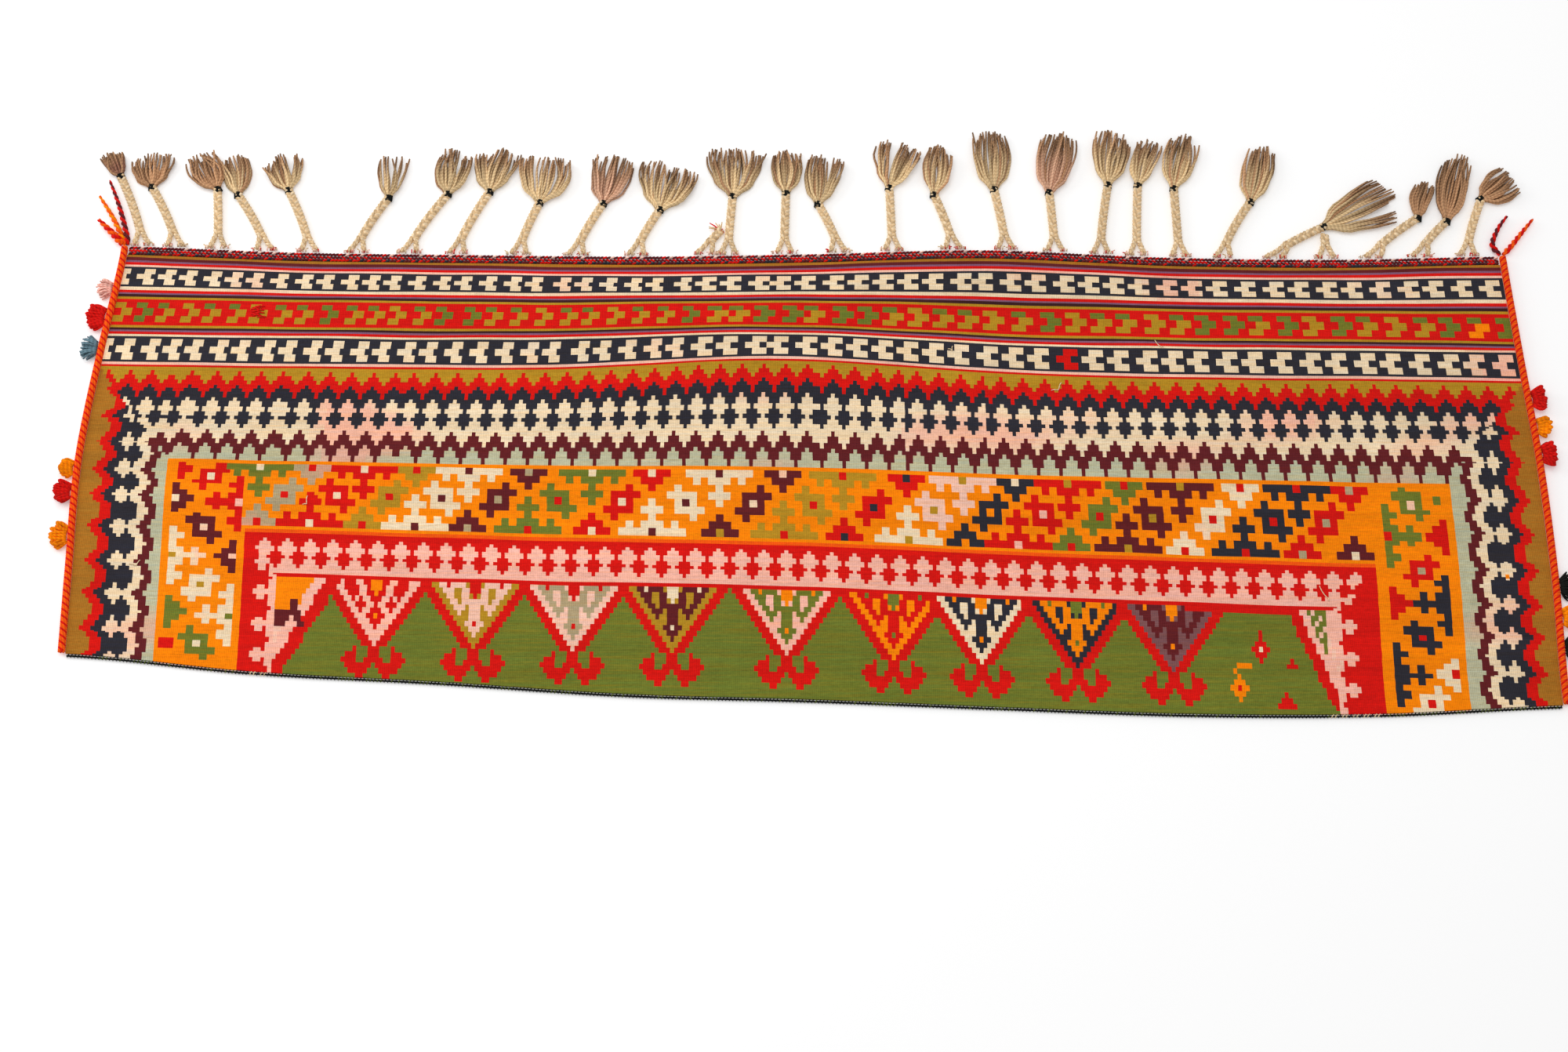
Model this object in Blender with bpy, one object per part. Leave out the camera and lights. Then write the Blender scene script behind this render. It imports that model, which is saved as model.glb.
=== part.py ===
"""Flat-woven wool runner with a braided fringe along its header edge.

Metres, +Z up. The cloth lies flat on z = 0 with its length along X and its fringe towards +Y.
The origin is on the underside, at the middle of the cloth.
"""

import math

import bmesh
import bpy

# Cloth
LENGTH = 1.52  # between the two side edges
WIDTH = 0.51  # from the outer line of the header to the cut hem, at the middle
CLOTH = 0.003  # thickness of the flat weave
GAP = 0.0003  # between pieces that touch

# Edges
HEADER_WIDTH = 0.011
HEADER_THICKNESS = 0.0036
CORD_DIAMETER = 0.007
HEM_DIAMETER = 0.0034

# Fringe
FRINGES = 27  # braids that the header carries, which set the pitch between them
FOOT_WIDTH = 0.016  # a braid's two legs, side by side, where they leave the header
BRAID_WIDTH = 0.0085
BRAID_THICKNESS = 0.007
NECK_WIDTH = 0.007
SKIRT_THICKNESS = 0.012
LEG_HEIGHT = 0.014  # header to where the two legs join

# Tails and tufts
TAIL_ROOT = 0.0024
TUFT_THICKNESS = 0.014
TUFT_SPACE = 0.0015  # between tufts that hang in one row

PITCH = LENGTH / FRINGES
SIDES = 8  # facets round a braid or a tail

# How far each edge stands out from its straight line, at even steps along it.
HEADER_WAVE = (0.009, 0.001, -0.002, -0.004, -0.001, 0.004, -0.005, -0.008, -0.004)
HEM_WAVE = (-0.042, -0.023, -0.012, 0.001, 0.007, 0.015, 0.022, 0.022, 0.013)
LEFT_WAVE = (-0.002, 0.004, 0.010, 0.003, -0.008)
RIGHT_WAVE = (-0.007, 0.0, 0.002, -0.002, -0.005)

# Colours
MADDER = (0.72, 0.02, 0.015, 1)
ORANGE = (0.95, 0.30, 0.01, 1)
PINK = (0.85, 0.30, 0.30, 1)
BLUE = (0.13, 0.22, 0.28, 1)
BLACK = (0.02, 0.02, 0.025, 1)
MAROON = (0.12, 0.015, 0.03, 1)
TAN = (0.60, 0.47, 0.27, 1)
BROWN = (0.36, 0.24, 0.16, 1)
DARK_GREEN = (0.03, 0.05, 0.03, 1)

# One row for each braid: root x, neck (x, y), tip (x, y) and spread of the skirt.
# x and spread are in pitches, x from the middle of the cloth; y is in metres past the header line.
BRAIDS = {
    "fringe_01": (-13.11, (-13.70, 0.098), (-14.00, 0.131), 0.38),
    "fringe_02": (-12.45, (-13.05, 0.084), (-13.18, 0.127), 0.72),
    "fringe_03": (-11.62, (-11.75, 0.081), (-12.22, 0.128), 0.66),
    "fringe_04": (-10.69, (-11.33, 0.074), (-11.43, 0.127), 0.56),
    "fringe_05": (-9.82, (-10.34, 0.080), (-10.60, 0.127), 0.66),
    "fringe_06": (-8.90, (-8.35, 0.070), (-8.31, 0.132), 0.52),
    "fringe_07": (-7.87, (-7.18, 0.075), (-7.11, 0.132), 0.70),
    "fringe_08": (-6.93, (-6.36, 0.078), (-6.26, 0.134), 0.76),
    "fringe_09": (-5.72, (-5.36, 0.064), (-5.19, 0.126), 1.00),
    "fringe_10": (-4.60, (-4.10, 0.063), (-3.86, 0.127), 0.76),
    "fringe_11": (-3.43, (-2.98, 0.055), (-2.75, 0.115), 0.98),
    "fringe_12": (-1.63, (-1.55, 0.072), (-1.46, 0.138), 1.00),
    "fringe_13": (-0.53, (-0.50, 0.076), (-0.46, 0.136), 0.58),
    "fringe_14": (0.53, (0.14, 0.062), (0.25, 0.126), 0.62),
    "fringe_15": (1.58, (1.55, 0.083), (1.84, 0.146), 0.74),
    "fringe_16": (2.77, (2.43, 0.074), (2.60, 0.146), 0.58),
    "fringe_17": (3.80, (3.62, 0.081), (3.61, 0.157), 0.74),
    "fringe_18": (4.76, (4.71, 0.077), (4.97, 0.154), 0.74),
    "fringe_19": (5.65, (5.88, 0.087), (6.06, 0.161), 0.68),
    "fringe_20": (6.36, (6.47, 0.086), (6.76, 0.152), 0.50),
    "fringe_21": (7.18, (7.18, 0.082), (7.48, 0.156), 0.64),
    "fringe_22": (8.03, (8.67, 0.065), (9.07, 0.140), 0.62),
    "fringe_23": (9.02, (10.07, 0.033), (11.58, 0.074), 0.88),
    "fringe_25": (10.96, (11.93, 0.044), (12.08, 0.091), 0.38),
    "fringe_26": (11.88, (12.49, 0.040), (12.93, 0.129), 0.64),
    "fringe_27": (12.81, (13.23, 0.068), (13.96, 0.096), 0.66),
}
# Braids whose skirt lies under their neighbour's: they end where it covers them, and swing with it.
SHORT_BRAIDS = {
    "fringe_12_side": (-2.10, (-1.78, 0.028), "fringe_12"),
    "fringe_24": (10.05, (10.06, 0.0225), "fringe_23"),
}
DARK_SKIRTS = ("fringe_01", "fringe_02", "fringe_03", "fringe_25", "fringe_27")

# Loose ends of the selvedge yarns, as points (x out, y on, width) in metres from the cord's top end.
TAILS = {
    "left_tail_red": (-1, MADDER, ((-0.0025, 0, TAIL_ROOT), (0.000, 0.012, 0.0024),
                                   (0.010, 0.042, 0.003), (0.018, 0.062, 0.003), (0.027, 0.082, 0.002))),
    "left_tail_orange": (-1, ORANGE, ((0.0005, 0, TAIL_ROOT), (0.006, 0.012, 0.0024),
                                      (0.019, 0.036, 0.0034), (0.036, 0.062, 0.002))),
    "left_tail_thick": (-1, ORANGE, ((0.0035, 0, TAIL_ROOT), (0.012, 0.010, 0.0024),
                                     (0.022, 0.020, 0.006), (0.033, 0.031, 0.003))),
    "right_tail_red": (1, MAROON, ((-0.0015, 0, TAIL_ROOT), (-0.009, 0.012, 0.0024),
                                   (0.000, 0.033, 0.0044), (0.012, 0.049, 0.004))),
    "right_tail_orange": (1, ORANGE, ((0.0015, 0, TAIL_ROOT), (0.011, 0.010, 0.0024),
                                      (0.024, 0.026, 0.0065), (0.040, 0.045, 0.0085))),
}

# Rows of yarn tufts: side, the row's top as a share of the cloth's width from its middle, and
# each tuft's name, colour, reach out from the cord and length along it.
TUFT_ROWS = (
    (-1, 0.44, (("left_tuft_1", PINK, 0.018, 0.030), ("left_tuft_2", MADDER, 0.020, 0.038),
                ("left_tuft_3", BLUE, 0.020, 0.036))),
    (-1, 0.01, (("left_tuft_4", ORANGE, 0.014, 0.023), ("left_tuft_5", MADDER, 0.018, 0.029))),
    (-1, -0.13, (("left_tuft_6", ORANGE, 0.018, 0.034),)),
    (1, 0.176, (("right_tuft_1", MADDER, 0.016, 0.032), ("right_tuft_2", ORANGE, 0.014, 0.029),
                ("right_tuft_3", MADDER, 0.015, 0.034))),
    (1, -0.24, (("right_tuft_4", BLACK, 0.016, 0.036), ("right_tuft_5", ORANGE, 0.016, 0.030),
                ("right_tuft_6", BLACK, 0.016, 0.034))),
)


def wave(offsets, share):
    """Smooth line through evenly spaced offsets, read at a share of its length."""
    place = min(max(share, 0), 1) * (len(offsets) - 1)
    first = min(int(place), len(offsets) - 2)
    t = place - first
    a, b = offsets[first], offsets[first + 1]
    slope_a = (b - offsets[max(first - 1, 0)]) / 2
    slope_b = (offsets[min(first + 2, len(offsets) - 1)] - a) / 2
    rise = t * t * (3 - 2 * t)
    return a + (b - a) * rise + slope_a * t * (1 - t) ** 2 - slope_b * t * t * (1 - t)


def header_y(x):
    return WIDTH / 2 + wave(HEADER_WAVE, x / LENGTH + 0.5)


def hem_y(x):
    return -WIDTH / 2 - wave(HEM_WAVE, x / LENGTH + 0.5)


def side_x(side, y):
    """Where the cloth ends: side is -1 on the left and 1 on the right."""
    offsets = LEFT_WAVE if side < 0 else RIGHT_WAVE
    return side * (LENGTH / 2 + wave(offsets, y / WIDTH + 0.5))


def corner(side, edge_y):
    """Corner of the cloth, where a side line meets the header or hem line."""
    x = side * LENGTH / 2
    for _ in range(4):
        x = side_x(side, edge_y(x))
    return x, edge_y(x)


def steps(low, high, count):
    return [low + (high - low) * i / count for i in range(count + 1)]


def cloth_top(x):
    return header_y(x) - HEADER_WIDTH - GAP


def material(name, colour):
    made = bpy.data.materials.new(name)
    made.use_nodes = True
    shader = made.node_tree.nodes["Principled BSDF"]
    shader.inputs["Base Color"].default_value = colour
    shader.inputs["Roughness"].default_value = 0.9
    return made


def keep(name, data, colour, location=(0, 0, 0)):
    """Place a piece in the runner's collection, in a material of its own."""
    piece = bpy.data.objects.new(name, data)
    data.materials.append(material(name, colour))
    piece.location = location
    runner.objects.link(piece)
    return piece


def flat_outline(name, points, thickness, colour):
    curve = bpy.data.curves.new(name, "CURVE")
    curve.dimensions = "2D"
    curve.fill_mode = "BOTH"
    curve.extrude = thickness / 2
    spline = curve.splines.new("POLY")
    spline.points.add(len(points) - 1)
    for point, (x, y) in zip(spline.points, points):
        point.co = (x, y, 0, 1)
    spline.use_cyclic_u = True
    return keep(name, curve, colour, (0, 0, thickness / 2))


def round_cord(name, points, diameter, colour):
    """Cord that lies on z = 0 along a flat line of points."""
    curve = bpy.data.curves.new(name, "CURVE")
    curve.dimensions = "3D"
    curve.bevel_depth = diameter / 2
    curve.bevel_resolution = 2
    curve.use_fill_caps = True
    curve.render_resolution_u = 0
    spline = curve.splines.new("POLY")
    spline.points.add(len(points) - 1)
    for point, (x, y) in zip(spline.points, points):
        point.co = (x, y, 0, 1)
    return keep(name, curve, colour, (0, 0, diameter / 2))


def swinging(name, stations, colour):
    """Soft length that lies on z = 0 and turns about X at its first station.

    Each station is (x, y, width, thickness). The root end is half round about the turning axis,
    so it keeps its clearance to the edge behind it at every angle. Its origin is on that axis.
    """
    root_x, root_y, root_width, root_thickness = stations[0]
    radius = root_thickness / 2
    rings = []
    for angle in (math.radians(75), math.radians(40)):
        rings.append((root_x, root_y - radius * math.sin(angle), root_width,
                      2 * radius * math.cos(angle), radius, (1, 0)))
    for i, (x, y, width, thickness) in enumerate(stations):
        before = stations[max(i - 1, 0)]
        after = stations[min(i + 1, len(stations) - 1)]
        along = math.hypot(after[0] - before[0], after[1] - before[1])
        across = ((after[1] - before[1]) / along, (before[0] - after[0]) / along)
        if i == 0:
            across = (1, 0)
        rings.append((x, y, width, thickness, thickness / 2, across))
    mesh = bpy.data.meshes.new(name)
    shape = bmesh.new()
    loops = []
    for x, y, width, thickness, middle, across in rings:
        loop = []
        for k in range(SIDES):
            angle = 2 * math.pi * k / SIDES
            out = math.cos(angle) * width / 2
            up = math.sin(angle) * thickness / 2
            loop.append(shape.verts.new((x - root_x + out * across[0], y - root_y + out * across[1],
                                         middle - radius + up)))
        loops.append(loop)
    for near, far in zip(loops, loops[1:]):
        for k in range(SIDES):
            following = (k + 1) % SIDES
            shape.faces.new((near[k], near[following], far[following], far[k]))
    shape.faces.new(loops[0])
    shape.faces.new(loops[-1])
    bmesh.ops.recalc_face_normals(shape, faces=shape.faces)
    shape.to_mesh(mesh)
    shape.free()
    return keep(name, mesh, colour, (root_x, root_y, radius))


def tuft(name, colour, x, y, reach, length):
    bpy.ops.mesh.primitive_uv_sphere_add(segments=12, ring_count=8, radius=0.5, location=(0, 0, 0))
    piece = bpy.context.object
    piece.name = name
    piece.data.name = name
    piece.scale = (reach, length, TUFT_THICKNESS)
    bpy.ops.object.transform_apply(location=False, rotation=False, scale=True)
    piece.location = (x, y, TUFT_THICKNESS / 2)
    piece.data.materials.append(material(name, colour))
    for holder in piece.users_collection:
        holder.objects.unlink(piece)
    runner.objects.link(piece)


for old in list(bpy.data.objects):
    bpy.data.objects.remove(old, do_unlink=True)
runner = bpy.data.collections.new("table_runner")
bpy.context.scene.collection.children.link(runner)

corners = {(side, name): corner(side, line)
           for side in (-1, 1) for name, line in (("header", header_y), ("hem", hem_y))}

# Cloth: one flat outline with a waved header line and a slanting cut.
header_xs = steps(corners[-1, "header"][0], corners[1, "header"][0], 32)
hem_xs = steps(corners[1, "hem"][0], corners[-1, "hem"][0], 32)
outline = [(x, cloth_top(x)) for x in header_xs]
outline += [(side_x(1, y), y) for y in steps(outline[-1][1], corners[1, "hem"][1], 10)[1:-1]]
outline += [(x, hem_y(x)) for x in hem_xs]
outline += [(side_x(-1, y), y) for y in steps(outline[-1][1], cloth_top(header_xs[0]), 10)[1:-1]]
flat_outline("kilim_panel", outline, CLOTH, MADDER)

# Header: the twined band that locks the warp ends.
band = [(x, header_y(x)) for x in header_xs]
band += [(x, header_y(x) - HEADER_WIDTH) for x in reversed(header_xs)]
flat_outline("twined_header", band, HEADER_THICKNESS, MAROON)

# Hem: overcast thread along the cut.
drop = HEM_DIAMETER / 2 + GAP
round_cord("hem_overcast", [(x, hem_y(x) - drop) for x in reversed(hem_xs)], HEM_DIAMETER, DARK_GREEN)

# Selvedges: a wrapped cord down each side.
for side, name in ((-1, "left_selvedge_cord"), (1, "right_selvedge_cord")):
    out = side * (CORD_DIAMETER / 2 + GAP)
    ys = steps(corners[side, "header"][1], corners[side, "hem"][1], 24)
    round_cord(name, [(side_x(side, y) + out, y) for y in ys], CORD_DIAMETER, ORANGE)


def foot_line(root):
    """Outermost y of the header under a braid's foot."""
    return max(header_y(root * PITCH + shift) for shift in (-FOOT_WIDTH / 2, 0, FOOT_WIDTH / 2))


def braid_axis(name):
    """y of the axis that a braid turns about, shared by the braids that swing together."""
    roots = [BRAIDS[name][0]]
    roots += [root for root, _, partner in SHORT_BRAIDS.values() if partner == name]
    return max(foot_line(root) for root in roots) + GAP + BRAID_THICKNESS / 2


def braid_stations(root, neck, axis_y):
    """Legs and braid, from the turning axis to the neck."""
    root_x, neck_x = root * PITCH, neck[0] * PITCH
    neck_y = WIDTH / 2 + neck[1]
    stations = [(root_x, axis_y, FOOT_WIDTH, BRAID_THICKNESS)]
    rise = neck_y - axis_y
    join = min(LEG_HEIGHT, rise / 2) / rise
    for share in (join, (1 + join) / 2):
        lean = share ** 1.3
        stations.append((root_x + (neck_x - root_x) * lean, axis_y + rise * share,
                         BRAID_WIDTH, BRAID_THICKNESS))
    return stations + [(neck_x, neck_y, NECK_WIDTH, BRAID_THICKNESS)]


# Fringe: braids of warp yarn, each bound at its neck and open below it as a skirt.
for name, (root, neck, tip, spread) in BRAIDS.items():
    stations = braid_stations(root, neck, braid_axis(name))
    for share, open_width, depth in ((0.25, 0.62, 0.9), (0.6, 1.0, 1.0), (1.0, 0.85, 0.6)):
        x = neck[0] + (tip[0] - neck[0]) * share
        y = neck[1] + (tip[1] - neck[1]) * share
        stations.append((x * PITCH, WIDTH / 2 + y, spread * PITCH * open_width,
                         SKIRT_THICKNESS * depth))
    swinging(name, stations, BROWN if name in DARK_SKIRTS else TAN)
for name, (root, end, partner) in SHORT_BRAIDS.items():
    swinging(name, braid_stations(root, end, braid_axis(partner)), TAN)

# Tails: loose ends of the selvedge yarns at the two header corners.
for name, (side, colour, points) in TAILS.items():
    x, y = corners[side, "header"]
    x += side * (CORD_DIAMETER / 2 + GAP)
    y += GAP + TAIL_ROOT / 2
    swinging(name, [(x + side * out, y + on, width, width) for out, on, width in points], colour)

# Tufts: bundles of dyed yarn tied to the selvedge cords, each resting against its cord's round side.
for side, row_top, tufts in TUFT_ROWS:
    top = row_top * WIDTH
    for name, colour, reach, length in tufts:
        y = top - length / 2
        centres = CORD_DIAMETER / 2 + GAP + reach / 2
        seat = math.sqrt(centres ** 2 - ((TUFT_THICKNESS - CORD_DIAMETER) / 2) ** 2)
        x = side_x(side, y) + side * (CORD_DIAMETER / 2 + GAP + seat)
        tuft(name, colour, x, y, reach, length)
        top -= length + TUFT_SPACE
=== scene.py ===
import math
import random

import bpy
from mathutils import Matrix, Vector, noise


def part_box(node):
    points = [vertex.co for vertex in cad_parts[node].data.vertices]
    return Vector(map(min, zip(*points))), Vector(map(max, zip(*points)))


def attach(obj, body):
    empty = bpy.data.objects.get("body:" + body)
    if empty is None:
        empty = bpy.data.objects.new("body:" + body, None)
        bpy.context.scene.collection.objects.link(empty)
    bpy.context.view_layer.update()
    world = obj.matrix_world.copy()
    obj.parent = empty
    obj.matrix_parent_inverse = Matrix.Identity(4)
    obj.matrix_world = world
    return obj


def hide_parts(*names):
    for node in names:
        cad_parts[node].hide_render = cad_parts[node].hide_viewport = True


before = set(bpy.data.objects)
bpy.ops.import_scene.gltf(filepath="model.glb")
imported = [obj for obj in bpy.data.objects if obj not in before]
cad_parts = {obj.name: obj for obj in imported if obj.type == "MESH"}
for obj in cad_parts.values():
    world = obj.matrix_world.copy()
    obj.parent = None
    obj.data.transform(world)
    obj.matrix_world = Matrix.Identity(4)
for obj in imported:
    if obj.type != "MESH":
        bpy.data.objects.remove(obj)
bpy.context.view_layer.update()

bpy.ops.object.select_all(action="DESELECT")
scene = bpy.context.scene

# Room: a plain pale table top under two soft studio lights, seen from above
# and a little in front of the runner.
bpy.ops.object.camera_add(location=(-0.0302, -0.9685, 2.0841), rotation=(math.radians(23.3), 0, 0))
scene.camera = bpy.context.object
scene.camera.data.lens = 50
scene.camera.data.sensor_width = 36
scene.view_settings.view_transform = "Standard"

bpy.ops.mesh.primitive_plane_add(size=12, location=(0, 0, -0.0006))
table_top = bpy.context.object
table_top.name = "table_top"
bpy.ops.object.transform_apply(location=True, rotation=False, scale=False)
top_paint = bpy.data.materials.new("table_top_paint")
top_paint.use_nodes = True
top_shader = top_paint.node_tree.nodes["Principled BSDF"]
top_shader.inputs["Base Color"].default_value = (0.93, 0.93, 0.93, 1)
top_shader.inputs["Roughness"].default_value = 0.9
top_shader.inputs["Emission Color"].default_value = (1, 1, 1, 1)
top_shader.inputs["Emission Strength"].default_value = 0.2
table_top.data.materials.append(top_paint)

for name, place, size, power in (("overhead_softbox", (-0.5, 0.6, 2.6), 2.4, 25),
                                 ("side_softbox", (-2.2, 1.0, 1.1), 1.2, 14)):
    bpy.ops.object.light_add(type="AREA", location=place)
    lamp = bpy.context.object
    lamp.name = name
    lamp.data.size = size
    lamp.data.energy = power
    lamp.rotation_euler = (-Vector(place)).to_track_quat("-Z", "Y").to_euler()
surround = bpy.data.worlds.new("pale_surround")
surround.use_nodes = True
surround.node_tree.nodes["Background"].inputs["Color"].default_value = (1, 1, 1, 1)
surround.node_tree.nodes["Background"].inputs["Strength"].default_value = 0.58
scene.world = surround


# Kilim panel: a weft-faced wool tapestry, woven from a chart of warp columns and rows.
# Its header line waves, its rows slant a little, and the lower edge is cut across the field.
LENGTH = 1.52
WIDTH = 0.51
GAP = 0.0003
HEADER_WIDTH = 0.011
HEADER_WAVE = (0.009, 0.001, -0.002, -0.004, -0.001, 0.004, -0.005, -0.008, -0.004)
HEM_WAVE = (-0.042, -0.023, -0.012, 0.001, 0.007, 0.015, 0.022, 0.022, 0.013)
LEFT_WAVE = (-0.002, 0.004, 0.010, 0.003, -0.008)
RIGHT_WAVE = (-0.007, 0.0, 0.002, -0.002, -0.005)
COLUMNS = 390
MM = 0.001

WOOL = {
    "red": (218, 21, 15), "navy": (46, 46, 56), "cream": (242, 222, 190), "rose_cream": (248, 200, 182),
    "maroon": (100, 33, 38), "sage": (190, 192, 164), "olive": (184, 142, 36), "brown": (172, 116, 38),
    "orange": (255, 138, 0), "green": (108, 122, 46), "pink": (252, 190, 174), "lilac": (132, 92, 122),
    "dark": (62, 30, 34), "grey": (178, 162, 128), "flame": (250, 92, 14), "tan": (214, 190, 146),
    "plum": (126, 84, 88), "black": (24, 26, 24),
}


def linear(colour):
    return tuple((v / 255 / 12.92) if v < 10.3 else ((v / 255 + 0.055) / 1.055) ** 2.4 for v in colour)


WOOL = {name: linear(colour) for name, colour in WOOL.items()}


def wave(offsets, share):
    place = min(max(share, 0), 1) * (len(offsets) - 1)
    first = min(int(place), len(offsets) - 2)
    t = place - first
    a, b = offsets[first], offsets[first + 1]
    slope_a = (b - offsets[max(first - 1, 0)]) / 2
    slope_b = (offsets[min(first + 2, len(offsets) - 1)] - a) / 2
    rise = t * t * (3 - 2 * t)
    return a + (b - a) * rise + slope_a * t * (1 - t) ** 2 - slope_b * t * t * (1 - t)


def header_y(x):
    return WIDTH / 2 + wave(HEADER_WAVE, x / LENGTH + 0.5)


def hem_y(x):
    return -WIDTH / 2 - wave(HEM_WAVE, x / LENGTH + 0.5)


def side_x(side, y):
    offsets = LEFT_WAVE if side < 0 else RIGHT_WAVE
    return side * (LENGTH / 2 + wave(offsets, y / WIDTH + 0.5))


def smooth(low, high, value):
    share = min(max((value - low) / (high - low), 0), 1)
    return share * share * (3 - 2 * share)


# Levels are millimetres from the middle of the cloth, read on its centre line.
HEADER_LEVEL = (header_y(-0.03) - HEADER_WIDTH - GAP) / MM


def slant(x, level):
    """y of a woven row: rows slope down to the right and bow up in the middle."""
    slope = -0.0135 - 0.021 * smooth(60, -90, level)
    bow = 4 + 13 * math.exp(-((level - 112) / 62) ** 2)
    return level * MM + slope * (x + 0.03) + bow * MM * (math.exp(-((x + 0.03) / 0.19) ** 2) - 1)


def woven_point(column, level):
    share = column / COLUMNS
    x = (share - 0.5) * LENGTH
    for _ in range(2):
        y = slant(x, level)
        pull = smooth(HEADER_LEVEL - 70, HEADER_LEVEL, level)
        y += pull * (header_y(x) - HEADER_WIDTH - GAP - slant(x, HEADER_LEVEL))
        x = side_x(-1, y) + (side_x(1, y) - side_x(-1, y)) * share
    if 0 < column < COLUMNS:
        x += 0.0005 * noise.noise((column * 0.7, level * 0.13, 3.0))
    if level < HEADER_LEVEL:
        y += 0.0009 * noise.noise((column * 0.045, level * 0.06, 9.0))
    return x, y


STRIPES = [
    ("brown", 3.0), ("maroon", 3.6), ("lilac", 2.2), ("red", 3.0), ("rose_cream", 2.4),
    ("navy", 2.3), ("key", 6.0), ("key", 5.2), ("key", 6.0), ("navy", 2.3),
    ("cream", 3.5), ("red", 2.9), ("lilac", 1.6), ("dark", 2.9), ("olive", 2.5),
    ("red", 3.5), ("comb", 5.8), ("comb", 7.8), ("comb", 6.8), ("red", 3.4),
    ("olive", 2.5), ("dark", 2.3), ("lilac", 1.9), ("red", 2.6), ("cream", 2.2),
    ("navy", 2.5), ("key", 7.5), ("key", 7.0), ("key", 7.5), ("navy", 2.5),
    ("rose_cream", 3.0), ("red", 2.3),
]
# Zigzag rows of the border: ground colour, the colour that climbs into it, its width and the height.
ZIGZAG = []
for ground, climbing, rows in (
        ("olive", "red", ((0, 3.8), (1, 5.3), (3, 5.3), (5, 4.9), (6, 1.4))),
        ("red", "navy", ((1, 4.4), (3, 4.4), (5, 5.3), (5, 3.3))),
        ("navy", "cream", ((1, 5.3), (3, 7.8), (5, 6.6), (3, 6.1), (1, 5.3), (3, 6.5), (5, 5.4), (6, 2.5))),
        ("cream", "maroon", ((1, 5.6), (3, 7.5), (5, 7.0))),
        ("maroon", "sage", ((1, 5.0), (3, 9.2), (5, 8.2)))):
    ZIGZAG += [(ground, climbing, *row) for row in rows]
INNER_ROWS = ((0, 6.0), (1, 3.6), (3, 5.3), (5, 6.0), (3, 4.4), (1, 3.6), (3, 6.0), (5, 4.4), (6, 5.8))
INNER_ZIGZAG = [("red", "pink", *row) for row in INNER_ROWS] + [("red", "red", 0, 4.2)]
CELL = 8.6  # height of one step of an orange band figure
FIELD_STEP = 6.0
SIDE_STEP = 4.65
INNER_STEP = 5.6
FIGURE_STEP = 7.4
LOWEST = -296
CLOSEST = 1.3  # a side row nearer than this to another row shares its line

main_levels = [HEADER_LEVEL]
for _, height in STRIPES:
    main_levels.append(main_levels[-1] - height)
border_top = main_levels[-1]
for row in ZIGZAG:
    main_levels.append(main_levels[-1] - row[3])
band_top = main_levels[-1]
figure_top = band_top - 4.5
main_levels += [figure_top - CELL * i for i in range(10)]
inner_top = figure_top - CELL * 9 - 7.5
main_levels += [inner_top + 4, inner_top]
for row in INNER_ZIGZAG:
    main_levels.append(main_levels[-1] - row[3])
field_top = main_levels[-1]
while main_levels[-1] > LOWEST:
    main_levels.append(main_levels[-1] - FIELD_STEP)
levels = list(main_levels)
for start, step in ((border_top, SIDE_STEP), (band_top - 6, FIGURE_STEP), (inner_top - 2, INNER_STEP)):
    level = start - step
    while level > LOWEST:
        if min(abs(level - other) for other in levels) > CLOSEST:
            levels.append(level)
        level -= step
levels.sort(reverse=True)
middles = [(a + b) / 2 for a, b in zip(levels, levels[1:])]
chart = [["red"] * COLUMNS for _ in middles]


def fill(first, last, top, bottom, colour):
    """Fill the columns from first up to last, between two levels."""
    for cells, middle in zip(chart, middles):
        if bottom < middle < top:
            for column in range(max(first, 0), min(last, COLUMNS)):
                cells[column] = colour


def stamp(art, left, top, across, down, wool, dot):
    """Weave a stepped figure: # is its wool, o its dot, each a cell of some columns and a height."""
    for i, line in enumerate(art):
        for k, mark in enumerate(line):
            if mark != ".":
                fill(left + k * across, left + (k + 1) * across, top - i * down, top - (i + 1) * down,
                     dot if mark == "o" else wool)


# Plain stripes, with the two dark key bands and the red comb band between them.
chance = random.Random(31)
level = HEADER_LEVEL
key_row = 0
for wool, height in STRIPES:
    if wool in ("key", "comb"):
        ground = "navy" if wool == "key" else "red"
        fill(0, COLUMNS, level, level - height, ground)
        first = -3 if wool == "key" else 0
        steps = random.Random(5 + key_row // 3)
        count = 57
        for n in range(count):
            left = round(first + n * (6.3 + 0.0130 * n) + steps.uniform(-0.4, 0.4))
            wide = 5 if n < 25 else 6
            part = key_row % 3
            if wool == "key":
                figure = "cream"
                if key_row >= 6 and n == 39:
                    figure = "red"
                start, end = (0, 4) if part == 1 else (2, wide)
            else:
                figure = "green" if (steps.random() < 0.3 or (part == 0 and n % 3)) else "olive"
                if n > count - 5 and part:
                    figure = "orange" if n == count - 3 else "green"
                start, end = (2, wide) if part == 1 else (0, wide - 2)
            fill(left + start, left + end, level, level - height, figure)
        key_row += 1
    else:
        fill(0, COLUMNS, level, level - height, wool)
    level -= height

# Border: the same zigzag steps along the header side and down both ends, mitred at the corners.
LEFT_BORDER = 23
RIGHT_BORDER = 24
END_STEPS = (("brown", (3, 4, 5, 6, 6)), ("red", (6, 7, 8, 9, 9)), ("navy", (13, 14, 15, 16, 16)),
             ("cream", (16, 17, 18, 18, 19)), ("maroon", (19, 20, 20, 21, 21)), ("sage", (30,) * 5))
END_DIAMOND = {9: 0, 10: 1, 11: 2, 12: 1, 13: 0, 14: 1, 15: 2}


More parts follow.
